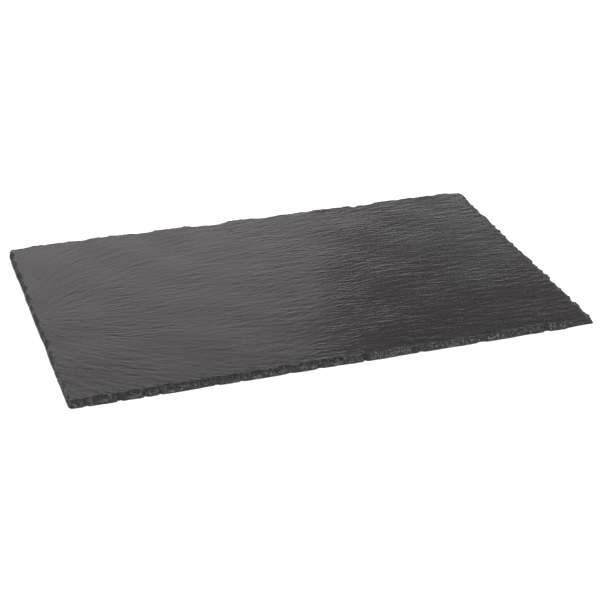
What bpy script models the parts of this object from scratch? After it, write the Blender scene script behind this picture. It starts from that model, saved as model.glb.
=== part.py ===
"""A slab of natural slate, split along its cleavage and dressed by hand round the edges.

Metres, +Z up, long side along X. The origin is under the middle of the slab, on the surface that
it rests on. The underside is flat. The top is riven: a fan of low ridges opens out from a point
on the left side and turns parallel to X. Every side is a row of scoops, one for each blow.
"""

import math
import random

import bmesh
import bpy
import numpy as np
from mathutils import Vector
from mathutils.geometry import delaunay_2d_cdt

# Driving dimensions
LENGTH = 0.530
WIDTH = 0.325
THICK_LEFT = 0.0080
THICK_RIGHT = 0.0066

# The dressed edge: how deep it can be cut, and the spacing of the places where it is worked out
BAND = 0.012
STATION = 0.0034
CORNER_STEPS = 6
LEVELS = (0.0, 0.34, 0.70, 1.0)
LEAN = 0.0006
WANDER = 0.00035
WANDER_WAVE = 0.065
LUMP = 0.00030
LUMP_WAVE = 0.011

# The riven top: where the fan starts, how wide it opens, and how its relief varies
FOCUS = (-0.2680, -0.0040)
FAN_SPREAD = 0.136
RASTER = 0.001
MARGIN = 0.020
SWELL = 0.00012
SWELL_WAVE = 0.090
SMEAR_STEP = 0.002
CALM_STRIP = 0.030
CALM_LEAST = 0.5
PATCH_WAVE = 0.060

# Kinds of ridge: length of the waves across the grain, how far they are drawn out along it,
# height and seed
RIDGES = (
    (0.0160, 0.016, 0.00006, 1),
    (0.0105, 0.010, 0.00010, 4),
)

# Spacing of the points that carry the ridges
ROW_GAP = 0.0040
ROW_STEP = 0.017
LEAST_GAP = 0.0034

# Each side: its outward direction, the direction of travel round the slab, and its distance
SIDES = {
    "front": ((0, -1), (1, 0), WIDTH / 2),
    "right": ((1, 0), (0, 1), LENGTH / 2),
    "back": ((0, 1), (-1, 0), WIDTH / 2),
    "left": ((-1, 0), (0, -1), LENGTH / 2),
}
ORDER = tuple(SIDES)

# How sharp the corner is at the end of each side: 2 is round, 18 is nearly square
CORNER_POWER = {"front": 16.0, "right": 5.0, "back": 3.4, "left": 6.0}

# Scoops placed by hand: place along X or Y, half width, reach inwards at the top, depth as a share
# of the thickness, and the profile from 1, a straight bevel, to 2, a cove
SCOOPS = {
    "front": [
        (-0.2490, 0.0030, 0.0020, 1.6, 1.6),
        (-0.2360, 0.0085, 0.0034, 0.80, 1.7),
        (-0.2180, 0.0042, 0.0026, 1.6, 1.6),
        (-0.2050, 0.0085, 0.0038, 0.85, 1.8),
        (-0.1945, 0.0026, 0.0026, 1.6, 1.6),
        (-0.1885, 0.0060, 0.0024, 0.80, 1.7),
        (-0.1805, 0.0024, 0.0026, 1.6, 1.6),
        (-0.1715, 0.0090, 0.0042, 0.90, 1.9),
        (-0.1580, 0.0050, 0.0028, 0.60, 1.7),
        (-0.1480, 0.0055, 0.0032, 0.70, 1.7),
        (-0.1370, 0.0060, 0.0034, 0.80, 1.8),
        (-0.1270, 0.0032, 0.0020, 1.6, 1.6),
        (-0.1240, 0.0080, 0.0030, 0.75, 1.7),
        (-0.1090, 0.0085, 0.0038, 0.90, 1.8),
        (-0.1030, 0.0030, 0.0019, 1.6, 1.6),
        (-0.0880, 0.0075, 0.0042, 0.85, 1.9),
        (-0.0750, 0.0050, 0.0024, 0.70, 1.6),
        (-0.0620, 0.0090, 0.0036, 0.80, 1.8),
        (-0.0560, 0.0040, 0.0016, 1.6, 1.6),
        (-0.0440, 0.0060, 0.0026, 0.65, 1.6),
        (-0.0340, 0.0080, 0.0036, 0.75, 1.7),
        (-0.0260, 0.0040, 0.0022, 1.6, 1.6),
        (-0.0200, 0.0055, 0.0034, 0.85, 1.8),
        (-0.0085, 0.0060, 0.0040, 0.85, 1.8),
        (0.0195, 0.0028, 0.0037, 1.7, 1.2),
        (0.0770, 0.0032, 0.0020, 1.6, 1.6),
        (0.1410, 0.0070, 0.0023, 1.6, 1.6),
        (0.2120, 0.0048, 0.0031, 1.6, 1.6),
        (0.2520, 0.0240, 0.0028, 1.7, 1.6),
    ],
    "right": [
        (-0.1620, 0.0110, 0.0040, 1.0, 1.05),
        (-0.1400, 0.0090, 0.0030, 1.7, 1.5),
        (-0.1170, 0.0060, 0.0026, 1.7, 1.5),
        (-0.1000, 0.0080, 0.0021, 1.7, 1.5),
        (-0.0840, 0.0060, 0.0017, 1.7, 1.5),
        (-0.0720, 0.0062, 0.0035, 1.7, 1.5),
        (-0.0540, 0.0060, 0.0016, 1.7, 1.5),
        (-0.0430, 0.0040, 0.0019, 1.7, 1.5),
        (-0.0320, 0.0060, 0.0030, 1.7, 1.5),
        (-0.0090, 0.0090, 0.0014, 1.7, 1.5),
        (0.0060, 0.0042, 0.0022, 1.7, 1.5),
        (0.0150, 0.0060, 0.0022, 1.7, 1.5),
        (0.0265, 0.0048, 0.0036, 1.7, 1.7),
        (0.0345, 0.0036, 0.0026, 1.7, 1.5),
        (0.0460, 0.0062, 0.0023, 1.7, 1.5),
        (0.0610, 0.0050, 0.0014, 1.7, 1.5),
        (0.0760, 0.0080, 0.0019, 1.7, 1.5),
        (0.1035, 0.0062, 0.0029, 1.7, 1.7),
        (0.1170, 0.0060, 0.0019, 1.7, 1.5),
        (0.1340, 0.0062, 0.0016, 1.7, 1.5),
        (0.1600, 0.0042, 0.0028, 1.7, 1.5),
    ],
    "back": [
        (-0.2530, 0.0160, 0.0040, 1.5, 1.6),
        (-0.1840, 0.0066, 0.0036, 1.4, 1.6),
        (-0.1600, 0.0056, 0.0026, 1.2, 1.6),
        (-0.1215, 0.0105, 0.0042, 1.6, 1.6),
        (-0.1130, 0.0082, 0.0045, 1.8, 1.7),
        (-0.0860, 0.0042, 0.0018, 1.0, 1.6),
        (-0.0500, 0.0160, 0.0043, 1.8, 1.5),
        (-0.0360, 0.0150, 0.0064, 2.2, 1.7),
        (-0.0130, 0.0072, 0.0018, 1.2, 1.6),
        (0.0220, 0.0180, 0.0038, 1.5, 1.6),
        (0.0500, 0.0200, 0.0029, 1.3, 1.6),
        (0.0740, 0.0080, 0.0032, 1.0, 1.6),
        (0.1010, 0.0052, 0.0021, 1.0, 1.6),
        (0.1120, 0.0062, 0.0026, 1.2, 1.6),
        (0.1290, 0.0052, 0.0054, 1.8, 1.6),
        (0.1440, 0.0120, 0.0043, 1.8, 1.6),
        (0.1650, 0.0100, 0.0015, 1.0, 1.6),
        (0.2070, 0.0070, 0.0025, 1.2, 1.6),
        (0.2275, 0.0062, 0.0028, 1.2, 1.6),
        (0.2560, 0.0120, 0.0035, 1.6, 1.6),
    ],
    "left": [
        (-0.1530, 0.0062, 0.0024, 0.80, 1.7),
        (-0.1310, 0.0070, 0.0024, 0.80, 1.8),
        (-0.1070, 0.0075, 0.0030, 0.90, 1.8),
        (-0.0810, 0.0051, 0.0026, 0.75, 1.7),
        (-0.0710, 0.0046, 0.0027, 0.80, 1.7),
        (-0.0505, 0.0075, 0.0030, 0.85, 1.8),
        (-0.0305, 0.0062, 0.0024, 0.80, 1.7),
        (-0.0050, 0.0070, 0.0024, 0.85, 1.8),
        (0.0085, 0.0044, 0.0021, 0.75, 1.7),
        (0.0240, 0.0053, 0.0014, 0.70, 1.6),
        (0.0450, 0.0075, 0.0027, 0.85, 1.8),
        (0.0660, 0.0066, 0.0027, 0.80, 1.8),
        (0.0960, 0.0097, 0.0029, 0.80, 1.7),
        (0.1240, 0.0075, 0.0030, 0.90, 1.8),
        (0.1460, 0.0057, 0.0034, 0.95, 1.7),
    ],
}

# Smaller scoops between them, drawn at random for each side: seed, then the ranges of pitch, half
# width, reach and share, and the profile
BLOWS = {
    "front": (11, (0.006, 0.013), (0.0035, 0.0070), (0.0010, 0.0024), (0.35, 0.80), 1.5),
    "right": (21, (0.008, 0.014), (0.0060, 0.0110), (0.0050, 0.0085), (0.24, 0.42), 1.1),
    "back": (31, (0.008, 0.016), (0.0050, 0.0090), (0.0010, 0.0024), (0.35, 0.90), 1.5),
    "left": (41, (0.007, 0.014), (0.0040, 0.0070), (0.0006, 0.0018), (0.35, 0.70), 1.5),
}

# Thin layers that came away from the top near a side: place, half width, reach, drop
FLAKES = {
    "front": ((0.150, 0.016, 0.0080, 0.00030), (-0.090, 0.012, 0.0075, 0.00030)),
    "right": ((0.103, 0.009, 0.0070, 0.00040), (0.026, 0.007, 0.0075, 0.00040)),
    "back": ((0.060, 0.018, 0.0100, 0.00030), (-0.198, 0.010, 0.0110, 0.00025)),
    "left": ((0.080, 0.014, 0.0060, 0.00025),),
}
FLAKE_RIM = 0.30


def clear_scene():
    for thing in list(bpy.data.objects):
        bpy.data.objects.remove(thing, do_unlink=True)


def flow(x, y):
    """Direction and speed of the flow that the ridges follow: a source in a stream along +X."""
    dx = x - FOCUS[0]
    dy = y - FOCUS[1]
    square = np.maximum(dx * dx + dy * dy, RASTER * RASTER)
    u = 1.0 + FAN_SPREAD * dx / square
    v = FAN_SPREAD * dy / square
    speed = np.hypot(u, v)
    return u / speed, v / speed, speed


def stream(x, y):
    """The value that stays the same along one line of the flow."""
    return (y - FOCUS[1]) + FAN_SPREAD * np.arctan2(y - FOCUS[1], x - FOCUS[0])


def band_noise(shape, wave, seed):
    """Noise whose waves have about one length, with a spread of one."""
    white = np.random.default_rng(seed).standard_normal(shape)
    across = np.fft.rfftfreq(shape[1], RASTER)[None, :]
    up = np.fft.fftfreq(shape[0], RASTER)[:, None]
    keep = np.exp(-((np.hypot(across, up) * wave - 1.0) / 0.45) ** 2)
    noise = np.fft.irfft2(np.fft.rfft2(white) * keep, s=shape)
    return noise / noise.std()


def sample(field, x, y):
    """A raster of the top read at any point, between its four nearest cells."""
    rows, columns = field.shape
    across = np.clip((x + LENGTH / 2 + MARGIN) / RASTER, 0, columns - 1.001)
    up = np.clip((y + WIDTH / 2 + MARGIN) / RASTER, 0, rows - 1.001)
    i = across.astype(int)
    j = up.astype(int)
    a = across - i
    b = up - j
    low = field[j, i] * (1 - a) + field[j, i + 1] * a
    high = field[j + 1, i] * (1 - a) + field[j + 1, i + 1] * a
    return low * (1 - b) + high * b


def smear(field, x, y, reach):
    """The field drawn out along the flow, to a distance each way."""
    steps = int(reach / SMEAR_STEP)
    total = field.copy()
    for way in (1, -1):
        px = x.copy()
        py = y.copy()
        for step in range(1, steps + 1):
            u, v, speed = flow(px, py)
            px += way * u * SMEAR_STEP
            py += way * v * SMEAR_STEP
            total += sample(field, px, py) * math.cos(math.pi / 2 * step / (steps + 1))
    return total / total.std()


def make_relief():
    """Swells and ridges of the riven top, as a raster of heights."""
    columns = int((LENGTH + 2 * MARGIN) / RASTER) + 1
    rows = int((WIDTH + 2 * MARGIN) / RASTER) + 1
    x, y = np.meshgrid(
        np.arange(columns) * RASTER - LENGTH / 2 - MARGIN,
        np.arange(rows) * RASTER - WIDTH / 2 - MARGIN,
    )
    shape = (rows, columns)
    ridges = np.zeros(shape)
    for wave, reach, height, seed in RIDGES:
        ridges += height * smear(band_noise(shape, wave, seed), x, y, reach)
    patches = np.clip(1.0 + 0.18 * band_noise(shape, PATCH_WAVE, 2), 0.3, 1.7)
    calm = np.clip((x + LENGTH / 2) / CALM_STRIP, CALM_LEAST, 1.0)
    swells = band_noise(shape, SWELL_WAVE, 3)
    return ridges * patches * calm + SWELL * swells


def wave_line(along, wave, seed):
    """A smooth wandering line, as a sum of a few sines of unlike lengths."""
    draw = random.Random(seed)
    total = np.zeros_like(along)
    for share in (1.7, 1.0, 0.62, 0.41):
        total += np.sin(2 * math.pi * along / (wave * share) + draw.uniform(0, 6.28)) * share ** 0.5
    return total / 2.0


def add_blows():
    """Draws the smaller scoops of each side and adds them to the ones placed by hand."""
    for side, (seed, pitch, half_width, reach, share, profile) in BLOWS.items():
        draw = random.Random(seed)
        half = (LENGTH if side in ("front", "back") else WIDTH) / 2
        place = -half + draw.uniform(0, pitch[1])
        while place < half:
            SCOOPS[side].append((
                place,
                draw.uniform(*half_width),
                draw.uniform(*reach),
                draw.uniform(*share),
                profile,
            ))
            place += draw.uniform(*pitch)


def inset(side, along, level):
    """How far inside the nominal line the side's surface is, at a level from 0 to 1."""
    seed = ORDER.index(side) + 50
    result = WANDER * (1 + wave_line(along, WANDER_WAVE, seed))
    result += LEAN * level
    result += LUMP * math.sin(math.pi * level) * wave_line(along, LUMP_WAVE, seed + level)
    cut = np.zeros_like(along)
    for place, half_width, reach, share, profile in SCOOPS[side]:
        round_off = np.clip(1 - ((along - place) / half_width) ** 2, 0, None)
        down = (1 - level) / share
        left_over = np.clip(round_off ** (profile / 2) - down ** profile, 0, None)
        cut = np.maximum(cut, reach * left_over ** (1 / profile))
    return np.clip(result, 0, None) + cut


def top_height(x, y, relief):
    """Height of the top: the taper from left to right, the relief, and the flakes."""
    height = THICK_LEFT + (THICK_RIGHT - THICK_LEFT) * (x / LENGTH + 0.5) + sample(relief, x, y)
    for side, flakes in FLAKES.items():
        outward, travel, distance = SIDES[side]
        depth = distance - (x * outward[0] + y * outward[1])
        along = x * abs(travel[0]) + y * abs(travel[1])
        for place, half_width, reach, drop in flakes:
            radius = np.hypot((along - place) / half_width, depth / reach)
            height = height - drop * np.clip((1 - radius) / FLAKE_RIM, 0, 1)
    return height


def stations():
    """Places round the slab. Each has a hub, an outward direction and the sides that bound it."""
    places = []
    for number, side in enumerate(ORDER):
        outward, travel, distance = SIDES[side]
        following = ORDER[(number + 1) % 4]
        next_outward, next_travel, next_distance = SIDES[following]
        run = next_distance - BAND
        next_run = distance - BAND
        sign = sum(travel)
        next_sign = sum(next_travel)
        edge = Vector(outward) * (distance - BAND)
        count = round(2 * run / STATION)
        for i in range(count):
            along = -run + 2 * run * i / count
            bounds = [(side, along * sign, 1.0)]
            places.append((edge + Vector(travel) * along, Vector(outward), bounds, 2.0))
        for i in range(CORNER_STEPS):
            angle = math.pi / 2 * (i + 0.5) / CORNER_STEPS
            first = run + BAND * min(1.0, math.tan(angle))
            second = -next_run - BAND * min(1.0, 1.0 / math.tan(angle))
            direction = Vector(outward) * math.cos(angle) + Vector(next_outward) * math.sin(angle)
            bounds = [
                (side, first * sign, math.cos(angle)),
                (following, second * next_sign, math.sin(angle)),
            ]
            places.append((edge + Vector(travel) * run, direction, bounds, CORNER_POWER[side]))
    return places


def ring_points(places, level, share=1.0):
    """Points round the slab at a level of the edge, or at a share of the way out to it."""
    total = np.zeros(len(places))
    power = np.array([place[3] for place in places])
    for side in ORDER:
        mine = [
            (i, along, lean)
            for i, place in enumerate(places)
            for bound, along, lean in place[2]
            if bound == side
        ]
        index = np.array([item[0] for item in mine])
        along = np.array([item[1] for item in mine])
        lean = np.array([item[2] for item in mine])
        distance = (BAND - inset(side, along, level)) / lean
        total[index] += distance ** -power[index]
    hubs = np.array([place[0] for place in places])
    directions = np.array([place[1] for place in places])
    return hubs + directions * (share * total ** (-1 / power))[:, None]


def rows_of_points():
    """Points along the lines of the flow, with fewer lines where they crowd at the focus."""
    limit_x = LENGTH / 2 - BAND
    limit_y = WIDTH / 2 - BAND
    start_x = limit_x - 0.001
    heights = np.linspace(-WIDTH, WIDTH, 4000)
    values = stream(np.full_like(heights, start_x), heights)
    gap = ROW_GAP * float(flow(np.array(start_x), np.array(0.0))[2])
    most = int(values[-1] / gap)
    rows = []
    for number in range(-most, most + 1):
        stride = 16
        while number % stride:
            stride //= 2
        x = start_x - ROW_STEP * 0.5 * (number % 2)
        y = float(np.interp(number * gap, values, heights))
        row = []
        while x > -limit_x:
            u, v, speed = flow(np.array(x), np.array(y))
            if stride * gap / speed < LEAST_GAP:
                break
            if abs(y) < limit_y:
                row.append(Vector((x, y)))
            middle = flow(x - u * ROW_STEP / 2, y - v * ROW_STEP / 2)
            x -= float(middle[0]) * ROW_STEP
            y -= float(middle[1]) * ROW_STEP
        rows.append(row)
    return rows


def flat_top(places):
    """The top seen from above: points and triangles, and which points are on its rim."""
    points = [Vector(point) for point in ring_points(places, 1.0)]
    count = len(points)
    edges = [(i, (i + 1) % count) for i in range(count)]
    for share, every in ((0.62, 2), (0.22, 4)):
        inner = ring_points(places, 1.0, share)
        points += [Vector(inner[i]) for i in range(0, count, every)]
    for row in rows_of_points():
        start = len(points)
        points += row
        edges += [(start + i, start + i + 1) for i in range(len(row) - 1)]
    flat, made, faces, origins, edge_origins, face_origins = delaunay_2d_cdt(
        points, edges, [], 1, 1e-6
    )
    now = {old: new for new, olds in enumerate(origins) for old in olds}
    return flat, faces, [now[i] for i in range(count)]


def build_slab(collection):
    relief = make_relief()
    places = stations()
    flat, faces, rim = flat_top(places)
    x = np.array([point.x for point in flat])
    y = np.array([point.y for point in flat])
    height = top_height(x, y, relief)

    work = bmesh.new()
    top = [work.verts.new(point) for point in zip(x, y, height)]
    for face in faces:
        work.faces.new([top[i] for i in face])
    upper = [top[i] for i in rim]
    for level in reversed(LEVELS[:-1]):
        outline = ring_points(places, level)
        lower = [
            work.verts.new((point[0], point[1], height[i] * level))
            for point, i in zip(outline, rim)
        ]
        for i in range(len(rim)):
            work.faces.new((upper[i - 1], lower[i - 1], lower[i], upper[i]))
        upper = lower
    work.faces.new(upper)
    bmesh.ops.recalc_face_normals(work, faces=work.faces[:])

    mesh = bpy.data.meshes.new("slab")
    work.to_mesh(mesh)
    work.free()
    slab = bpy.data.objects.new("slab", mesh)
    slab.data.materials.append(slate_material())
    collection.objects.link(slab)


def slate_material():
    slate = bpy.data.materials.new("slate")
    slate.use_nodes = True
    shader = slate.node_tree.nodes["Principled BSDF"]
    shader.inputs["Base Color"].default_value = (0.040, 0.038, 0.038, 1.0)
    shader.inputs["Roughness"].default_value = 0.45
    shader.inputs["Metallic"].default_value = 0.0
    return slate


def main():
    clear_scene()
    add_blows()
    collection = bpy.data.collections.new("slate_slab")
    bpy.context.scene.collection.children.link(collection)
    build_slab(collection)


main()
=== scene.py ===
import math
import random

import bpy
import numpy as np
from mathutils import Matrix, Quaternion, Vector
from mathutils.geometry import delaunay_2d_cdt


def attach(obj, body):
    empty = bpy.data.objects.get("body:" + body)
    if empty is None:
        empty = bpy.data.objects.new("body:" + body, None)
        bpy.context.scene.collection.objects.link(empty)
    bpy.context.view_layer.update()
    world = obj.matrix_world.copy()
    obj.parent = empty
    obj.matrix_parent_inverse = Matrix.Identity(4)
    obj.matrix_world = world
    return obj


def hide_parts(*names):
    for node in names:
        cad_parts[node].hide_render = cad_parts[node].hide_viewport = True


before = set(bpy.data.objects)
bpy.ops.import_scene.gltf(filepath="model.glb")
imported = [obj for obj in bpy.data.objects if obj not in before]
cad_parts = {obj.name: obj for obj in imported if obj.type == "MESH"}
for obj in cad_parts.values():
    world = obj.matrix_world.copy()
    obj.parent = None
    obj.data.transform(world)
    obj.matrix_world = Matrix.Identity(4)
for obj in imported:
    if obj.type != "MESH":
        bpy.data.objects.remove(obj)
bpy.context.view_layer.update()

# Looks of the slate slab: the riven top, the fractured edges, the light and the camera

# The slab's own dimensions, as in the CAD model: its size, the band within which the edge is
# dressed, how far the edge leans inwards, and how its line wanders
LENGTH = 0.530
WIDTH = 0.325
THICK_LEFT = 0.0080
THICK_RIGHT = 0.0066
BAND = 0.012
LEAN = 0.0006
WANDER = 0.00035
WANDER_WAVE = 0.065

# The flow that the ripples follow: where it spreads from, and how widely
FOCUS = (-0.2680, -0.0040)
FAN_SPREAD = 0.136

# Rasters of the relief: margin round the slab, size of a cell, and step along the flow
MARGIN = 0.020
COARSE = 0.001
COARSE_STEP = 0.002
FINE = 0.0005
FINE_STEP = 0.001

# How widely the lengths of the waves in one band of noise differ: on the top, and in the grain of
# the edges
TOP_SPREAD = 0.45
EDGE_SPREAD = 0.6

# Broad swells of the top: height and length
SWELL = 0.00012
SWELL_WAVE = 0.090

# How the strength of the relief varies: in patches, in a calmer strip at the left end, and along X
PATCH_WAVE = 0.060
PATCH_SHARE = 0.12
PATCH_LIMITS = (0.3, 1.7)
CALM_STRIP = 0.030
CALM_LEAST = 0.85
STRENGTH_AT = (-0.240, -0.120, -0.020, 0.080, 0.180)
STRENGTH = (1.10, 0.88, 1.32, 0.95, 0.80)
FINE_STRENGTH = (1.25, 1.04, 1.62, 0.80, 0.60)

# Ridges that the CAD model has too, though higher, and the finer ripples that it leaves out: length
# of the waves across the grain, how far they are drawn out along it, height and seed
RIDGES = (
    (0.0160, 0.016, 0.000022, 1),
    (0.0105, 0.010, 0.000024, 4),
)
RIPPLES = (
    (0.0070, 0.0070, 0.000024, 11),
    (0.0046, 0.0050, 0.000048, 12),
    (0.0030, 0.0032, 0.000036, 13),
    (0.0058, 0.0010, 0.000021, 14),
)

# Spacing of the mesh: round the edge, down it, and across and along the ripples of the top
STATION = 0.0009
CORNER_STEPS = 22
WALL_LEVELS = 9
ROW_GAP = 0.00115
ROW_STEP = 0.0026
ROW_INSET = 0.0005
LEAST_GAP = 0.00100

# The triangulation keeps what lies within the outline, and merges points closer than this
WITHIN_OUTLINE = 1
MERGE = 1e-6

# Rings of points within the edge, over the dressed band: how far out each is, and one in how many
# stations it has. Where the rings crowd at the corners, the inner ones have half as many or none
INNER_RINGS = (
    (0.93, 1),
    (0.86, 1),
    (0.77, 1),
    (0.66, 2),
    (0.53, 2),
    (0.38, 2),
    (0.20, 3),
)
CORNERS_HALVED = 0.7
CORNERS_LEFT_OUT = 0.4

# The underside: its own ring, the spacing of its points, how much wider apart they are along X, and
# the mean height of its relief
UNDER_RING = 0.7
UNDER_EVERY = 4
UNDER_STEP = 0.0040
UNDER_STRETCH = 1.6
UNDER_RELIEF = 0.00025

# Fracture grain of the edges: length along the edge, height of its waves, depth and seed
GRAIN = (
    (0.0034, 0.0030, 0.00026, 21),
    (0.0016, 0.0015, 0.00018, 22),
    (0.0019, 0.0090, 0.00014, 23),
)
GRAIN_CELL = 0.0004
GRAIN_ROWS = 32
GRAIN_LIMIT = 0.0006

# Depth at which a scoop counts as fully scooped
DEEP = 0.0025

# Each side's outward direction, its direction of travel round the slab, and its distance
SIDES = {
    "front": ((0, -1), (1, 0), WIDTH / 2),
    "right": ((1, 0), (0, 1), LENGTH / 2),
    "back": ((0, 1), (-1, 0), WIDTH / 2),
    "left": ((-1, 0), (0, -1), LENGTH / 2),
}
ORDER = tuple(SIDES)

# Sharpness of the corner at the end of each side: a high power is a sharp corner. Between the
# corners it has no effect
STRAIGHT = 2.0
CORNER_POWER = {"front": 16.0, "right": 5.0, "back": 3.4, "left": 6.0}

# Scoops left by the blows that dressed the edges, the ones that the photograph shows clearly: place
# along the side, half width, depth, share of the thickness that they reach down, and profile
SCOOPS = {
    "front": [
        (-0.2490, 0.0030, 0.0020, 1.6, 1.6),
        (-0.2360, 0.0085, 0.0034, 0.80, 1.7),
        (-0.2180, 0.0042, 0.0026, 1.6, 1.6),
        (-0.2050, 0.0085, 0.0038, 0.85, 1.8),
        (-0.1945, 0.0026, 0.0026, 1.6, 1.6),
        (-0.1885, 0.0060, 0.0024, 0.80, 1.7),
        (-0.1805, 0.0024, 0.0026, 1.6, 1.6),
        (-0.1715, 0.0090, 0.0042, 0.90, 1.9),
        (-0.1580, 0.0050, 0.0028, 0.60, 1.7),
        (-0.1480, 0.0055, 0.0032, 0.70, 1.7),
        (-0.1370, 0.0060, 0.0034, 0.80, 1.8),
        (-0.1270, 0.0032, 0.0020, 1.6, 1.6),
        (-0.1240, 0.0080, 0.0030, 0.75, 1.7),
        (-0.1090, 0.0085, 0.0038, 0.90, 1.8),
        (-0.1030, 0.0030, 0.0019, 1.6, 1.6),
        (-0.0880, 0.0075, 0.0042, 0.85, 1.9),
        (-0.0750, 0.0050, 0.0024, 0.70, 1.6),
        (-0.0620, 0.0090, 0.0036, 0.80, 1.8),
        (-0.0560, 0.0040, 0.0016, 1.6, 1.6),
        (-0.0440, 0.0060, 0.0026, 0.65, 1.6),
        (-0.0340, 0.0080, 0.0036, 0.75, 1.7),
        (-0.0260, 0.0040, 0.0022, 1.6, 1.6),
        (-0.0200, 0.0055, 0.0034, 0.85, 1.8),
        (-0.0085, 0.0060, 0.0040, 0.85, 1.8),
        (0.0195, 0.0028, 0.0037, 1.7, 1.2),
        (0.0770, 0.0032, 0.0020, 1.6, 1.6),
        (0.1410, 0.0070, 0.0023, 1.6, 1.6),
        (0.2120, 0.0048, 0.0031, 1.6, 1.6),
        (0.2520, 0.0240, 0.0028, 1.7, 1.6),
    ],
    "right": [
        (-0.1620, 0.0110, 0.0040, 1.0, 1.05),
        (-0.1400, 0.0090, 0.0030, 1.7, 1.5),
        (-0.1170, 0.0060, 0.0026, 1.7, 1.5),
        (-0.1000, 0.0080, 0.0021, 1.7, 1.5),
        (-0.0840, 0.0060, 0.0017, 1.7, 1.5),
        (-0.0720, 0.0062, 0.0035, 1.7, 1.5),
        (-0.0540, 0.0060, 0.0016, 1.7, 1.5),
        (-0.0430, 0.0040, 0.0019, 1.7, 1.5),
        (-0.0320, 0.0060, 0.0030, 1.7, 1.5),
        (-0.0090, 0.0090, 0.0014, 1.7, 1.5),
        (0.0060, 0.0042, 0.0022, 1.7, 1.5),
        (0.0150, 0.0060, 0.0022, 1.7, 1.5),
        (0.0265, 0.0048, 0.0036, 1.7, 1.7),
        (0.0345, 0.0036, 0.0026, 1.7, 1.5),
        (0.0460, 0.0062, 0.0023, 1.7, 1.5),
        (0.0610, 0.0050, 0.0014, 1.7, 1.5),
        (0.0760, 0.0080, 0.0019, 1.7, 1.5),
        (0.1035, 0.0062, 0.0029, 1.7, 1.7),
        (0.1170, 0.0060, 0.0019, 1.7, 1.5),
        (0.1340, 0.0062, 0.0016, 1.7, 1.5),
        (0.1600, 0.0042, 0.0028, 1.7, 1.5),
    ],
    "back": [
        (-0.2530, 0.0160, 0.0040, 1.5, 1.6),
        (-0.1840, 0.0066, 0.0036, 1.4, 1.6),
        (-0.1600, 0.0056, 0.0026, 1.2, 1.6),
        (-0.1215, 0.0105, 0.0042, 1.6, 1.6),
        (-0.1130, 0.0082, 0.0045, 1.8, 1.7),
        (-0.0860, 0.0042, 0.0018, 1.0, 1.6),
        (-0.0500, 0.0160, 0.0043, 1.8, 1.5),
        (-0.0360, 0.0150, 0.0064, 2.2, 1.7),
        (-0.0130, 0.0072, 0.0018, 1.2, 1.6),
        (0.0220, 0.0180, 0.0038, 1.5, 1.6),
        (0.0500, 0.0200, 0.0029, 1.3, 1.6),
        (0.0740, 0.0080, 0.0032, 1.0, 1.6),
        (0.1010, 0.0052, 0.0021, 1.0, 1.6),
        (0.1120, 0.0062, 0.0026, 1.2, 1.6),
        (0.1290, 0.0052, 0.0054, 1.8, 1.6),
        (0.1440, 0.0120, 0.0043, 1.8, 1.6),
        (0.1650, 0.0100, 0.0015, 1.0, 1.6),
        (0.2070, 0.0070, 0.0025, 1.2, 1.6),
        (0.2275, 0.0062, 0.0028, 1.2, 1.6),
        (0.2560, 0.0120, 0.0035, 1.6, 1.6),
    ],
    "left": [
        (-0.1530, 0.0062, 0.0024, 0.80, 1.7),
        (-0.1310, 0.0070, 0.0024, 0.80, 1.8),
        (-0.1070, 0.0075, 0.0030, 0.90, 1.8),
        (-0.0810, 0.0051, 0.0026, 0.75, 1.7),
        (-0.0710, 0.0046, 0.0027, 0.80, 1.7),
        (-0.0505, 0.0075, 0.0030, 0.85, 1.8),
        (-0.0305, 0.0062, 0.0024, 0.80, 1.7),
        (-0.0050, 0.0070, 0.0024, 0.85, 1.8),
        (0.0085, 0.0044, 0.0021, 0.75, 1.7),
        (0.0240, 0.0053, 0.0014, 0.70, 1.6),
        (0.0450, 0.0075, 0.0027, 0.85, 1.8),
        (0.0660, 0.0066, 0.0027, 0.80, 1.8),
        (0.0960, 0.0097, 0.0029, 0.80, 1.7),
        (0.1240, 0.0075, 0.0030, 0.90, 1.8),
        (0.1460, 0.0057, 0.0034, 0.95, 1.7),
    ],
}

# Further scoops, placed by random numbers: seed, then the ranges of the pitch, half width, depth
# and share, and the profile
BLOWS = {
    "front": (11, (0.006, 0.013), (0.0035, 0.0070), (0.0010, 0.0024), (0.35, 0.80), 1.5),
    "right": (21, (0.008, 0.014), (0.0060, 0.0110), (0.0050, 0.0085), (0.24, 0.42), 1.1),
    "back": (31, (0.008, 0.016), (0.0050, 0.0090), (0.0010, 0.0024), (0.35, 0.90), 1.5),
    "left": (41, (0.007, 0.014), (0.0040, 0.0070), (0.0006, 0.0018), (0.35, 0.70), 1.5),
}

# Flakes that came off the top beside the edges: place along the side, half width, reach and drop
FLAKES = {
    "front": ((0.150, 0.016, 0.0080, 0.00030), (-0.090, 0.012, 0.0075, 0.00030)),
    "right": ((0.103, 0.009, 0.0070, 0.00040), (0.026, 0.007, 0.0075, 0.00040)),
    "back": ((0.060, 0.018, 0.0100, 0.00030), (-0.198, 0.010, 0.0110, 0.00025)),
    "left": ((0.080, 0.014, 0.0060, 0.00025),),
}
FLAKE_RIM = 0.30

# Where two faces meet at more than this angle in degrees, the edge between them is sharp
SHARP = 38

# Tones of the stone: linear grey, then how much more red and blue it has. The top has two mixed by
# blotches, a warm tint, pale and dark mottle, and a few light specks
TOP_DARK = (0.0164, 0.10, 0.04)
TOP_PALE = (0.0192, 0.10, 0.04)
TOP_WARM = (0.0182, 0.15, 0.06)
MOTTLE_PALE = (0.0223, 0.10, 0.04)
MOTTLE_DARK = (0.0144, 0.10, 0.04)
LIGHT_SPECK = (0.110, 0.05, 0.0)

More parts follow.
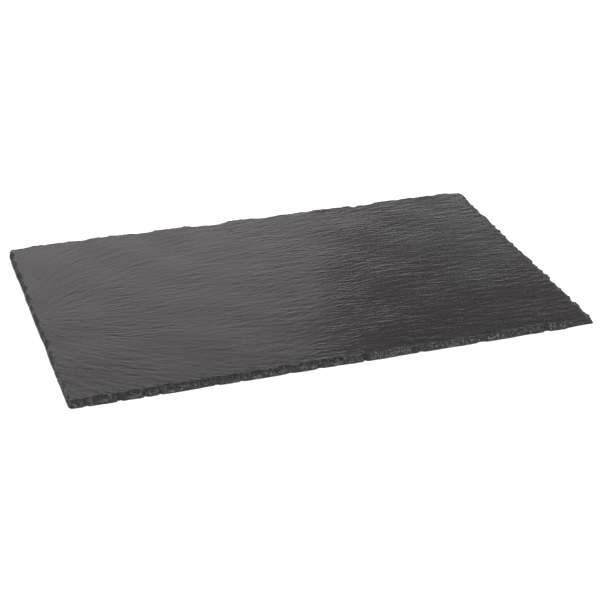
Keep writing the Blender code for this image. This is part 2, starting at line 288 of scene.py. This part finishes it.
# The edge has crushed and fresh stone, each with a tone for the left darkened as painted shade and
# one for the right lightened as painted light, and a foot darkened as painted shade
CRUSHED_SHADED = (0.098, 0.05, 0.02)
CRUSHED_LIT = (0.145, 0.0, 0.05)
FRESH_SHADED = (0.010, 0.10, 0.04)
FRESH_LIT = (0.013, 0.08, 0.04)
FOOT_SHADE = (0.009, 0.08, 0.04)

# Sizes of the patterns of the top, as the number of them in a metre
GRAIN_ALONG = 160.0
GRAIN_ACROSS = 620.0
GLOSS_SPECKS = 1400.0
BLOTCHES = 28.0
TINTS = 11.0
MOTTLES = 480.0
LIGHT_SPECKS = 26.0

# A light speck fades between these distances from its middle, as parts of the specks' spacing, and
# this share of the specks is left out
SPECK_FADE = (0.012, 0.030)
SPECKS_LEFT_OUT = 0.72

# Sizes of the patterns of the edge, as the number of them in a metre
COARSE_CRUMBS = 480.0
FINE_CRUMBS = 850.0
EDGE_PATCHES = 150.0

# How the edge's patterns are put together: shares of the coarse and the fine crumbs, how much the
# patches change them, how much the scoops darken them, partly for fresher stone and partly as painted
# shade, and the values between which fresh stone turns into crushed
COARSE_SHARE = 0.55
FINE_SHARE = 0.45
PATCH_CHANGE = 0.03
SCOOP_FRESHNESS_AND_SHADE = 0.03
CRUSHED_BETWEEN = (0.515, 0.585)

# Where along X the edge's tones in painted shade on the left turn into its tones in painted light on
# the right, and how high up the wall the painted shade at the foot reaches
SHADE_TO_LIGHT = (-0.06, 0.08)
FOOT_SHADE_LEVEL = 0.10

# Roughness of the top, from its glossier to its duller specks, and how much rougher the edge is
TOP_ROUGHNESS = (0.21, 0.29)
EDGE_ROUGHER = 0.30

# Depth of the relief that only the shading shows: the grain of the top, and the crumbs of the edge
GRAIN_BUMP = 0.000032
CRUMB_BUMP = 0.0003

# The camera: what it aims at, where it stands and how long its lens is
AIM = (0.00051, -0.02714, 0.0)
AZIMUTH = -19.606
ELEVATION = 28.117
ROLL = 1.102
DISTANCE = 1.5486
LENS = 91.19
SENSOR_WIDTH = 36.0

# Power that a softbox of brightness 1 has for each square metre, and the colours of the softboxes
BOX_POWER = 4.0
ROSY = (1.0, 0.94, 0.955)
PALE = (1.0, 0.985, 0.99)
WHITE = (1.0, 1.0, 1.0)

# Softboxes on an upright plane behind the slab: left, right, low and high sides, brightness, colour
BACK = 1.50
SOFTBOXES = (
    ("low_left", -0.72, 0.610, 0.05, 0.60, 0.90, ROSY),
    ("back_left", -0.72, 0.615, 0.60, 0.86, 0.79, ROSY),
    ("high_left", -0.72, 0.625, 0.86, 1.15, 0.67, ROSY),
    ("top_left", -0.72, 0.630, 1.15, 1.45, 0.38, ROSY),
    ("strip", 0.34, 0.50, 0.05, 1.20, 0.05, ROSY),
    ("back_right", 0.620, 0.93, 0.36, 0.585, 1.80, PALE),
    ("far_right", 0.93, 1.60, 0.38, 0.66, 1.75, PALE),
)

# The broad overhead light, brightest in its middle: degrees across, degrees towards the front,
# and strength
OVERHEAD = (
    ("overhead_core", 30, 12, 0.39),
    ("overhead_middle", 56, 5, 1.29),
    ("overhead_rim", 80, 0, 2.42),
)

# Three fainter upright walls of light, which show the relief from the other sides: place and width.
# Each is made of tiers that fade upwards: low and high sides, brightness
FILLS = (
    ("front", (0.0, -1.7), 2.4),
    ("left", (-1.8, 0.0), 2.2),
    ("right", (1.8, 0.0), 2.2),
)
TIERS = (
    (0.10, 0.45, 0.62),
    (0.45, 0.80, 0.44),
    (0.80, 1.15, 0.27),
    (1.15, 1.60, 0.12),
)

# The world is pale to look at, but lights the slab only faintly
WORLD_SEEN = 1.0
WORLD_LIGHT = 0.02

# The floor: half its side, how far it lies under the slab, and its tone
FLOOR_HALF = 20.0
FLOOR_DROP = 0.0004
FLOOR_TONE = (0.92, 0.92, 0.92, 1.0)


def flow(x, y):
    """Direction and speed of the flow that the ripples follow: a source in a stream along +X."""
    dx = x - FOCUS[0]
    dy = y - FOCUS[1]
    square = np.maximum(dx * dx + dy * dy, COARSE * COARSE)
    u = 1.0 + FAN_SPREAD * dx / square
    v = FAN_SPREAD * dy / square
    speed = np.hypot(u, v)
    return u / speed, v / speed, speed


def stream(x, y):
    """The value that stays the same along one line of the flow."""
    return (y - FOCUS[1]) + FAN_SPREAD * np.arctan2(y - FOCUS[1], x - FOCUS[0])


def potential(x, y):
    """The value that grows along each line of the flow."""
    return (x - FOCUS[0]) + FAN_SPREAD * np.log(np.hypot(x - FOCUS[0], y - FOCUS[1]) / FAN_SPREAD)


def band_noise(shape, cell, wave, seed):
    """Noise whose waves have about one length, with a spread of one."""
    white = np.random.default_rng(seed).standard_normal(shape)
    across = np.fft.rfftfreq(shape[1], cell)[None, :]
    up = np.fft.fftfreq(shape[0], cell)[:, None]
    keep = np.exp(-((np.hypot(across, up) * wave - 1.0) / TOP_SPREAD) ** 2)
    noise = np.fft.irfft2(np.fft.rfft2(white) * keep, s=shape)
    return noise / noise.std()


def sample(field, cell, x, y):
    """A raster of the top read at any point, between its four nearest cells."""
    rows, columns = field.shape
    across = np.clip((x + LENGTH / 2 + MARGIN) / cell, 0, columns - 1.001)
    up = np.clip((y + WIDTH / 2 + MARGIN) / cell, 0, rows - 1.001)
    i = across.astype(int)
    j = up.astype(int)
    a = across - i
    b = up - j
    low = field[j, i] * (1 - a) + field[j, i + 1] * a
    high = field[j + 1, i] * (1 - a) + field[j + 1, i + 1] * a
    return low * (1 - b) + high * b


def smear(field, cell, step_length, x, y, reach):
    """The field drawn out along the flow, to a distance each way."""
    steps = int(reach / step_length)
    total = field.copy()
    for way in (1, -1):
        px = x.copy()
        py = y.copy()
        for step in range(1, steps + 1):
            u, v = flow(px, py)[:2]
            px += way * u * step_length
            py += way * v * step_length
            weight = math.cos(math.pi / 2 * step / (steps + 1))
            total += sample(field, cell, px, py) * weight
    return total / total.std()


def raster(cell):
    """The places of the cells of a raster that covers the top and a margin round it."""
    columns = int((LENGTH + 2 * MARGIN) / cell) + 1
    rows = int((WIDTH + 2 * MARGIN) / cell) + 1
    return np.meshgrid(
        np.arange(columns) * cell - LENGTH / 2 - MARGIN,
        np.arange(rows) * cell - WIDTH / 2 - MARGIN,
    )


def ripples(kinds, cell, step_length, x, y):
    """The sum of some kinds of ripple, each a band of noise drawn out along the flow."""
    total = np.zeros_like(x)
    for wave, reach, height, seed in kinds:
        total += height * smear(band_noise(x.shape, cell, wave, seed), cell, step_length, x, y, reach)
    return total


def make_relief():
    """The ridges that the CAD model has, and the finer ripples on them."""
    x, y = raster(COARSE)
    patches = 1.0 + PATCH_SHARE * band_noise(x.shape, COARSE, PATCH_WAVE, 2)
    patches = np.clip(patches, *PATCH_LIMITS)
    patches *= np.clip((x + LENGTH / 2) / CALM_STRIP, CALM_LEAST, 1.0)
    swells = band_noise(x.shape, COARSE, SWELL_WAVE, 3)
    coarse = ripples(RIDGES, COARSE, COARSE_STEP, x, y) * patches
    coarse = coarse * np.interp(x, STRENGTH_AT, STRENGTH) + SWELL * swells

    fine_patches = patches * np.interp(x, STRENGTH_AT, FINE_STRENGTH)
    x, y = raster(FINE)
    strength = sample(fine_patches, COARSE, x, y)
    return coarse, ripples(RIPPLES, FINE, FINE_STEP, x, y) * strength


def wave_line(along, wave, seed):
    """A smooth wandering line, as a sum of a few sines of unlike lengths."""
    draw = random.Random(seed)
    total = np.zeros_like(along)
    for share in (1.7, 1.0, 0.62, 0.41):
        total += np.sin(2 * math.pi * along / (wave * share) + draw.uniform(0, 6.28)) * share ** 0.5
    return total / 2.0


def add_blows():
    """Draws the further scoops of each side and adds them to the ones placed by hand."""
    for side, (seed, pitch, half_width, reach, share, profile) in BLOWS.items():
        draw = random.Random(seed)
        half = (LENGTH if side in ("front", "back") else WIDTH) / 2
        place = -half + draw.uniform(0, pitch[1])
        while place < half:
            SCOOPS[side].append((
                place,
                draw.uniform(*half_width),
                draw.uniform(*reach),
                draw.uniform(*share),
                profile,
            ))
            place += draw.uniform(*pitch)


def inset(side, along, level):
    """How far inside the nominal line the side's surface is, at a level from 0 to 1."""
    seed = ORDER.index(side) + 50
    result = WANDER * (1 + wave_line(along, WANDER_WAVE, seed))
    result += LEAN * level
    cut = np.zeros_like(along)
    for place, half_width, reach, share, profile in SCOOPS[side]:
        round_off = np.clip(1 - ((along - place) / half_width) ** 2, 0, None)
        down = (1 - level) / share
        left_over = np.clip(round_off ** (profile / 2) - down ** profile, 0, None)
        cut = np.maximum(cut, reach * left_over ** (1 / profile))
    return np.clip(result, 0, None) + cut


def top_height(x, y, relief):
    """Height of the top: the taper from left to right, the relief, and the flakes."""
    coarse, fine = relief
    height = THICK_LEFT + (THICK_RIGHT - THICK_LEFT) * (x / LENGTH + 0.5)
    height += sample(coarse, COARSE, x, y) + sample(fine, FINE, x, y)
    for side, flakes in FLAKES.items():
        outward, travel, distance = SIDES[side]
        depth = distance - (x * outward[0] + y * outward[1])
        along = x * abs(travel[0]) + y * abs(travel[1])
        for place, half_width, reach, drop in flakes:
            radius = np.hypot((along - place) / half_width, depth / reach)
            height = height - drop * np.clip((1 - radius) / FLAKE_RIM, 0, 1)
    return height


def stations():
    """Places round the slab. Each has a hub, an outward direction and the sides that bound it."""
    places = []
    for number, side in enumerate(ORDER):
        outward, travel, distance = SIDES[side]
        following = ORDER[(number + 1) % 4]
        next_outward, next_travel, next_distance = SIDES[following]
        run = next_distance - BAND
        next_run = distance - BAND
        sign = sum(travel)
        next_sign = sum(next_travel)
        edge = Vector(outward) * (distance - BAND)
        count = round(2 * run / STATION)
        for i in range(count):
            along = -run + 2 * run * i / count
            bounds = [(side, along * sign, 1.0)]
            places.append((edge + Vector(travel) * along, Vector(outward), bounds, STRAIGHT))
        for i in range(CORNER_STEPS):
            angle = math.pi / 2 * (i + 0.5) / CORNER_STEPS
            first = run + BAND * min(1.0, math.tan(angle))
            second = -next_run - BAND * min(1.0, 1.0 / math.tan(angle))
            direction = Vector(outward) * math.cos(angle) + Vector(next_outward) * math.sin(angle)
            bounds = [
                (side, first * sign, math.cos(angle)),
                (following, second * next_sign, math.sin(angle)),
            ]
            places.append((edge + Vector(travel) * run, direction, bounds, CORNER_POWER[side]))
    return places


class Edge:
    """The dressed edge: its stations as arrays, and the fracture grain that roughens it."""

    def __init__(self):
        places = stations()
        self.count = len(places)
        self.hubs = np.array([place[0] for place in places])
        self.directions = np.array([place[1] for place in places])
        self.power = np.array([place[3] for place in places])
        self.bounds = {}
        for side in ORDER:
            mine = [
                (i, along, lean)
                for i, place in enumerate(places)
                for bound, along, lean in place[2]
                if bound == side
            ]
            self.bounds[side] = [np.array(column) for column in zip(*mine)]
        round_about = 2 * (LENGTH + WIDTH)
        columns = int(round_about / GRAIN_CELL)
        self.grain = np.zeros((GRAIN_ROWS, columns))
        across = np.fft.rfftfreq(columns, GRAIN_CELL)[None, :]
        up = np.fft.fftfreq(GRAIN_ROWS, GRAIN_CELL)[:, None]
        for wave, height, depth, seed in GRAIN:
            white = np.random.default_rng(seed).standard_normal(self.grain.shape)
            keep = np.exp(-((np.hypot(across * wave, up * height) - 1.0) / EDGE_SPREAD) ** 2)
            noise = np.fft.irfft2(np.fft.rfft2(white) * keep, s=self.grain.shape)
            self.grain += depth * noise / noise.std()

    def roughness(self, level):
        """Depth of the fracture grain at each station, at a level from 0 to 1."""
        columns = self.grain.shape[1]
        across = np.arange(self.count) / self.count * columns
        i = across.astype(int) % columns
        a = across % 1.0
        row = level * THICK_LEFT / GRAIN_CELL
        j = int(row)
        b = row - j
        low = self.grain[j, i] * (1 - a) + self.grain[j, (i + 1) % columns] * a
        high = self.grain[j + 1, i] * (1 - a) + self.grain[j + 1, (i + 1) % columns] * a
        return low * (1 - b) + high * b

    def scooped(self, level):
        """How deep in a scoop each station is at a level, both from 0 to 1."""
        depth = np.zeros(self.count)
        for side in ORDER:
            index, along = self.bounds[side][:2]
            depth[index] = np.maximum(depth[index], inset(side, along, level))
        return np.clip((depth - 2 * WANDER) / DEEP, 0, 1)

    def ring(self, level, share=1.0):
        """Points round the slab at a level, or at a share of the way out to it."""
        total = np.zeros(self.count)
        rough = np.clip(self.roughness(level), -GRAIN_LIMIT, GRAIN_LIMIT)
        # the grain fades towards the foot
        rough = rough * min(1.0, 0.35 + 3 * level * (1.25 - level))
        for side in ORDER:
            index, along, lean = self.bounds[side]
            depth = inset(side, along, level)
            depth = depth + np.maximum(rough[index], -depth)
            total[index] += ((BAND - depth) / lean) ** -self.power[index]
        reach = total ** (-1 / self.power)
        return self.hubs + self.directions * (share * reach)[:, None]


def rows_of_points():
    """Points along the lines of the flow, with fewer lines where they crowd at the focus."""
    limit_x = LENGTH / 2 - BAND
    limit_y = WIDTH / 2 - BAND
    start_x = limit_x - ROW_INSET
    # where the rows start: places up the right end, at equal steps of the stream's value
    heights = np.linspace(-WIDTH, WIDTH, 8000)
    values = stream(np.full_like(heights, start_x), heights)
    gap = ROW_GAP * float(flow(np.array(start_x), np.array(0.0))[2])
    most = int(values[-1] / gap)
    numbers = np.arange(-most, most + 1)
    stride = np.ones_like(numbers)
    for power in (2, 4, 8, 16):
        stride[numbers % power == 0] = power
    x = np.full(len(numbers), start_x)
    y = np.interp(numbers * gap, values, heights)
    alive = np.ones(len(numbers), bool)
    points = []
    while alive.any():
        u, v, speed = flow(x, y)
        alive &= (x > -limit_x) & (stride * gap / speed >= LEAST_GAP)
        inside = alive & (np.abs(y) < limit_y)
        points.append(np.stack([x[inside], y[inside]], axis=1))
        u, v = flow(x - u * ROW_STEP / 2, y - v * ROW_STEP / 2)[:2]
        x = x - u * ROW_STEP
        y = y - v * ROW_STEP
    return np.concatenate(points)


def triangulate(outline, others):
    """Triangles over the points that lie within an outline, and where its own points went."""
    points = [Vector(point) for point in np.concatenate([outline] + others)]
    count = len(outline)
    edges = [(i, (i + 1) % count) for i in range(count)]
    flat, made, faces, origins = delaunay_2d_cdt(points, edges, [], WITHIN_OUTLINE, MERGE)[:4]
    now = {old: new for new, olds in enumerate(origins) for old in olds}
    return np.array(flat), faces, [now[i] for i in range(count)]


def under_points():
    """A sparse grid for the underside."""
    xs = np.arange(-LENGTH / 2 + BAND, LENGTH / 2 - BAND, UNDER_STEP * UNDER_STRETCH)
    ys = np.arange(-WIDTH / 2 + BAND, WIDTH / 2 - BAND, UNDER_STEP)
    x, y = np.meshgrid(xs, ys)
    x = x + (np.arange(len(ys)) % 2)[:, None] * UNDER_STEP * (UNDER_STRETCH / 2)
    keep = x < LENGTH / 2 - BAND
    return np.stack([x[keep], y[keep]], axis=1)


def build_slab():
    """The mesh of the slab: the top, the wall round it and the underside, joined point to point."""
    edge = Edge()
    relief = make_relief()

    inner = []
    straight = edge.power == STRAIGHT
    for share, every in INNER_RINGS:
        keep = np.arange(edge.count) % every == 0
        if share < CORNERS_HALVED:
            keep &= straight | (np.arange(edge.count) % (2 * every) == 0)
        if share < CORNERS_LEFT_OUT:
            keep &= straight
        inner.append(edge.ring(1.0, share)[keep])
    flat, faces, rim = triangulate(edge.ring(1.0), inner + [rows_of_points()])
    height = top_height(flat[:, 0], flat[:, 1], relief)
    vertices = [np.column_stack([flat, height])]
    fracture = [np.zeros(len(flat))]
    fracture[0][rim] = 1.0
    levels = [np.ones(len(flat))]
    scooped = [np.zeros(len(flat))]
    rim_scoop = edge.scooped(1.0)
    scooped[0][rim] = rim_scoop
    total = len(flat)

    count = edge.count
    upper = np.array(rim)
    for step in range(1, WALL_LEVELS + 1):
        level = 1.0 - step / WALL_LEVELS
        outline = edge.ring(level)
        vertices.append(np.column_stack([outline, height[rim] * level]))
        fracture.append(np.ones(count))
        levels.append(np.full(count, level))
        scooped.append(edge.scooped(level))
        lower = np.arange(total, total + count)
        total += count
        before = np.roll(upper, 1)
        below = np.roll(lower, 1)
        faces = faces + np.stack([before, below, lower, upper], axis=1).tolist()
        upper = lower

    under_ring = edge.ring(0.0, UNDER_RING)[::UNDER_EVERY]
    flat, under, foot = triangulate(edge.ring(0.0), [under_ring, under_points()])
    own = np.ones(len(flat), bool)
    own[foot] = False
    number = np.zeros(len(flat), int)
    number[own] = np.arange(total, total + own.sum())
    number[foot] = upper
    coarse = sample(relief[0], COARSE, -flat[own, 0], flat[own, 1])
    rise = np.clip(UNDER_RELIEF + coarse, 0, 2 * UNDER_RELIEF)
    vertices.append(np.column_stack([flat[own], rise]))
    for values in (fracture, levels, scooped):
        values.append(np.zeros(own.sum()))
    faces = faces + [[int(number[i]) for i in reversed(face)] for face in under]

    vertices = np.concatenate(vertices)
    mesh = bpy.data.meshes.new("slate_stone")
    mesh.from_pydata(vertices.tolist(), [], faces)
    mesh.validate()
    add_attribute(mesh, "fracture", np.concatenate(fracture))
    add_attribute(mesh, "wall_level", np.concatenate(levels))
    add_attribute(mesh, "scooped", np.concatenate(scooped))
    x = vertices[:, 0]
    y = vertices[:, 1]
    add_attribute(mesh, "with_grain", potential(x, y))
    add_attribute(mesh, "across_grain", stream(x, y))
    add_attribute(mesh, "crowding", np.log2(flow(x, y)[2]))
    mesh.shade_smooth()
    mesh.set_sharp_from_angle(angle=math.radians(SHARP))
    stone = bpy.data.objects.new("slate_stone", mesh)
    bpy.context.scene.collection.objects.link(stone)
    print("triangles", sum(len(face.vertices) - 2 for face in mesh.polygons))
    return stone


def add_attribute(mesh, name, values):
    """Gives each point of the mesh a value that the material reads."""
    attribute = mesh.attributes.new(name, "FLOAT", "POINT")
    attribute.data.foreach_set("value", values.astype(np.float32))


class Nodes:
    """Short calls for making and linking the nodes of one material."""

    def __init__(self, name):
        self.material = bpy.data.materials.new(name)
        self.material.use_nodes = True
        self.tree = self.material.node_tree
        self.shader = self.tree.nodes["Principled BSDF"]

    def make(self, kind, **settings):
        node = self.tree.nodes.new(kind)
        for name, value in settings.items():
            setattr(node, name, value)
        return node

    def link(self, source, target):
        self.tree.links.new(source, target)

    def attribute(self, name):
        return self.make("ShaderNodeAttribute", attribute_name=name).outputs["Fac"]

    def math(self, operation, first, second=0.0, clamp=False):
        node = self.make("ShaderNodeMath", operation=operation, use_clamp=clamp)
        for socket, value in zip(node.inputs, (first, second)):
            if isinstance(value, (int, float)):
                socket.default_value = value
            else:
                self.link(value, socket)
        return node.outputs[0]

    def combine(self, x, y, z=0.0):
        node = self.make("ShaderNodeCombineXYZ")
        for socket, value in zip(node.inputs, (x, y, z)):
            if isinstance(value, (int, float)):
                socket.default_value = value
            else:
                self.link(value, socket)
        return node.outputs[0]

    def noise(self, vector, scale, detail=2.0, roughness=0.5, distortion=0.0):
        node = self.make("ShaderNodeTexNoise")
        node.inputs["Scale"].default_value = scale
        node.inputs["Detail"].default_value = detail
        node.inputs["Roughness"].default_value = roughness
        node.inputs["Distortion"].default_value = distortion
        self.link(vector, node.inputs["Vector"])
        return node.outputs["Fac"]

    def span(self, value, low, high, to_low=0.0, to_high=1.0):
        node = self.make("ShaderNodeMapRange", clamp=True)
        self.link(value, node.inputs["Value"])
        node.inputs["From Min"].default_value = low
        node.inputs["From Max"].default_value = high
        node.inputs["To Min"].default_value = to_low
        node.inputs["To Max"].default_value = to_high
        return node.outputs["Result"]

    def mix(self, factor, first, second):
        node = self.make("ShaderNodeMix", data_type="RGBA")
        for socket, value in zip((node.inputs[0], node.inputs[6], node.inputs[7]),
                                 (factor, first, second)):
            if isinstance(value, tuple):
                socket.default_value = value
            elif isinstance(value, (int, float)):
                socket.default_value = value
            else:
                self.link(value, socket)
        return node.outputs[2]


def grey(level, red=0.0, blue=0.0):
    """A near-grey linear colour, with a little more or less red and blue."""
    return (level * (1 + red), level, level * (1 + blue), 1.0)


def slate_material():
    """Dull satin slate: mottled and grained on the top, powdery with light crumbs on the edge."""
    n = Nodes("riven_slate")
    place = n.make("ShaderNodeTexCoord").outputs["Object"]
    fracture = n.attribute("fracture")

    # fine grain that follows the ripples, at the same real size all over the fan
    along = n.attribute("with_grain")
    across = n.attribute("across_grain")
    crowding = n.attribute("crowding")
    grain = None
    for octave in range(4):
        scale = 2.0 ** -octave
        vector = n.combine(n.math("MULTIPLY", along, GRAIN_ALONG * scale),
                           n.math("MULTIPLY", across, GRAIN_ACROSS * scale), octave * 7.3)
        away = n.math("ABSOLUTE", n.math("SUBTRACT", crowding, octave + 0.4))
        near = n.math("SUBTRACT", 1.0, away, clamp=True)
        part = n.math("MULTIPLY", n.math("SUBTRACT", n.noise(vector, 1.0, 3.0, 0.6), 0.5), near)
        grain = part if grain is None else n.math("ADD", grain, part)

    # blotches, tint and mottle of the top
    speck = n.noise(place, GLOSS_SPECKS, 2.0, 0.6)
    blotch = n.noise(place, BLOTCHES, 3.0, 0.55)
    tint = n.noise(place, TINTS, 2.0, 0.5)
    top_colour = n.mix(n.span(blotch, 0.3, 0.7), grey(*TOP_DARK), grey(*TOP_PALE))
    top_colour = n.mix(n.span(tint, 0.40, 0.65), top_colour, grey(*TOP_WARM))
    mottle = n.noise(place, MOTTLES, 2.0, 0.6)
    top_colour = n.mix(n.span(mottle, 0.56, 0.66), top_colour, grey(*MOTTLE_PALE))
    top_colour = n.mix(n.span(mottle, 0.34, 0.44, 1.0, 0.0), top_colour, grey(*MOTTLE_DARK))

    # a light speck here and there
    grains = n.make("ShaderNodeTexVoronoi")
    grains.inputs["Scale"].default_value = LIGHT_SPECKS
    n.link(place, grains.inputs["Vector"])
    lot = n.make("ShaderNodeSeparateColor")
    n.link(grains.outputs["Color"], lot.inputs[0])
    near = n.span(grains.outputs["Distance"], *SPECK_FADE, 1.0, 0.0)
    chosen = n.math("MULTIPLY", near, n.math("GREATER_THAN", lot.outputs[0], SPECKS_LEFT_OUT))
    top_colour = n.mix(chosen, top_colour, grey(*LIGHT_SPECK))

    # the edge: fresh dark stone with crushed light crumbs, fewer in the scoops, partly for fresher
    # stone and partly as painted shade; painted shade on the left and painted light on the right; and
    # painted shade along the foot
    split = n.make("ShaderNodeSeparateXYZ")
    n.link(place, split.inputs[0])
    upright = n.combine(split.outputs[0], split.outputs[1], n.math("MULTIPLY", split.outputs[2], 0.6))
    coarse_crumbs = n.noise(upright, COARSE_CRUMBS, 3.0, 0.70)
    fine_crumbs = n.noise(place, FINE_CRUMBS, 2.0, 0.6)
    level = n.attribute("wall_level")
    powder = n.math("ADD", n.math("MULTIPLY", coarse_crumbs, COARSE_SHARE),
                    n.math("MULTIPLY", fine_crumbs, FINE_SHARE))
    # painted light: the edge's tones lighter towards the right and darker towards the left, as the
    # light falls
    edge_light_share = n.span(split.outputs[0], *SHADE_TO_LIGHT)
    patch = n.noise(place, EDGE_PATCHES, 2.0, 0.6)
    powder = n.math("ADD", powder, n.span(patch, 0.3, 0.7, -PATCH_CHANGE, PATCH_CHANGE))
    # partly painted shade: the deeper the scoop, the fewer light crumbs and the darker the edge; the
    # rest is fresher stone
    scooped = n.math("MULTIPLY", n.attribute("scooped"), SCOOP_FRESHNESS_AND_SHADE)
    powder = n.math("SUBTRACT", powder, scooped)
    crushed = n.mix(edge_light_share, grey(*CRUSHED_SHADED), grey(*CRUSHED_LIT))
    fresh = n.mix(edge_light_share, grey(*FRESH_SHADED), grey(*FRESH_LIT))
    edge_colour = n.mix(n.span(powder, *CRUSHED_BETWEEN), fresh, crushed)
    # painted shade: the foot of the wall darkened, where shade falls next to the floor
    edge_colour = n.mix(n.span(level, 0.0, FOOT_SHADE_LEVEL), grey(*FOOT_SHADE), edge_colour)

    # colour, gloss and the finest relief of both together
    n.link(n.mix(fracture, top_colour, edge_colour), n.shader.inputs["Base Color"])
    top_rough = n.span(speck, 0.3, 0.7, *TOP_ROUGHNESS)
    rough = n.math("ADD", n.math("MULTIPLY", fracture, EDGE_ROUGHER), top_rough)
    n.link(rough, n.shader.inputs["Roughness"])

    fine = n.make("ShaderNodeBump")
    fine.inputs["Strength"].default_value = 1.0
    fine.inputs["Distance"].default_value = GRAIN_BUMP
    n.link(grain, fine.inputs["Height"])
    coarse = n.make("ShaderNodeBump")
    coarse.inputs["Strength"].default_value = 1.0
    coarse.inputs["Distance"].default_value = CRUMB_BUMP
    edge_height = n.math("MULTIPLY", n.math("ADD", coarse_crumbs, fine_crumbs), fracture)
    n.link(edge_height, coarse.inputs["Height"])
    n.link(fine.outputs["Normal"], coarse.inputs["Normal"])
    n.link(coarse.outputs["Normal"], n.shader.inputs["Normal"])
    return n.material


def make_floor():
    """A plain pale floor."""
    mesh = bpy.data.meshes.new("floor")
    corners = [(x * FLOOR_HALF, y * FLOOR_HALF, 0) for x, y in ((-1, -1), (1, -1), (1, 1), (-1, 1))]
    mesh.from_pydata(corners, [], [(0, 1, 2, 3)])
    floor = bpy.data.objects.new("floor", mesh)
    floor.location.z = -FLOOR_DROP
    bpy.context.scene.collection.objects.link(floor)
    paper = bpy.data.materials.new("pale_floor")
    paper.use_nodes = True
    shader = paper.node_tree.nodes["Principled BSDF"]
    shader.inputs["Base Color"].default_value = FLOOR_TONE
    shader.inputs["Roughness"].default_value = 0.9
    shader.inputs["Specular IOR Level"].default_value = 0.1
    floor.data.materials.append(paper)


def add_softbox(name, centre, size, brightness, colour, towards):
    """A rectangular light that faces a point, and that the camera doesn't see."""
    lamp = bpy.data.lights.new(name, "AREA")
    lamp.shape = "RECTANGLE"
    lamp.size, lamp.size_y = size
    lamp.energy = brightness * BOX_POWER * size[0] * size[1]
    lamp.color = colour
    box = bpy.data.objects.new(name, lamp)
    box.location = centre
    box.rotation_euler = (Vector(centre) - Vector(towards)).to_track_quat("Z", "Y").to_euler()
    box.visible_camera = False
    bpy.context.scene.collection.objects.link(box)


def make_light():
    """The world, the broad overhead light, the softboxes behind the slab, and the fainter ones."""
    world = bpy.data.worlds.new("studio")
    bpy.context.scene.world = world
    world.use_nodes = True
    tree = world.node_tree
    background = tree.nodes["Background"]
    background.inputs["Color"].default_value = (*WHITE, 1.0)
    seen = tree.nodes.new("ShaderNodeLightPath")
    choice = tree.nodes.new("ShaderNodeMapRange")
    choice.inputs["To Min"].default_value = WORLD_LIGHT
    choice.inputs["To Max"].default_value = WORLD_SEEN
    tree.links.new(seen.outputs["Is Camera Ray"], choice.inputs["Value"])
    tree.links.new(choice.outputs["Result"], background.inputs["Strength"])

    for name, across, tilt, strength in OVERHEAD:
        lamp = bpy.data.lights.new(name, "SUN")
        lamp.energy = strength
        lamp.angle = math.radians(across)
        sun = bpy.data.objects.new(name, lamp)
        sun.rotation_euler = (math.radians(tilt), 0, 0)
        bpy.context.scene.collection.objects.link(sun)

    for name, left, right, low, high, brightness, colour in SOFTBOXES:
        middle = ((left + right) / 2, BACK, (low + high) / 2)
        size = (right - left, high - low)
        add_softbox(name, middle, size, brightness, colour, (middle[0], 0.0, middle[2]))
    for name, (x, y), width in FILLS:
        for low, high, brightness in TIERS:
            height = (low + high) / 2
            size = (width, high - low)
            add_softbox(name, (x, y, height), size, brightness, WHITE, (0.0, 0.0, height))


def make_camera():
    """The camera, at the angle from which the photograph was taken."""
    azimuth = math.radians(AZIMUTH)
    elevation = math.radians(ELEVATION)
    away = Vector((
        math.sin(azimuth) * math.cos(elevation),
        -math.cos(azimuth) * math.cos(elevation),
        math.sin(elevation),
    ))
    lens = bpy.data.cameras.new("camera")
    lens.lens = LENS
    lens.sensor_width = SENSOR_WIDTH
    camera = bpy.data.objects.new("camera", lens)
    camera.location = Vector(AIM) + away * DISTANCE
    roll = Quaternion((0, 0, 1), math.radians(ROLL))
    camera.rotation_mode = "QUATERNION"
    camera.rotation_quaternion = away.to_track_quat("Z", "Y") @ roll
    bpy.context.scene.collection.objects.link(camera)
    bpy.context.scene.camera = camera


add_blows()
stone = build_slab()
stone.data.materials.append(slate_material())
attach(stone, "root")
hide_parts("slab")
make_floor()
make_light()
make_camera()
bpy.context.scene.view_settings.view_transform = "Standard"
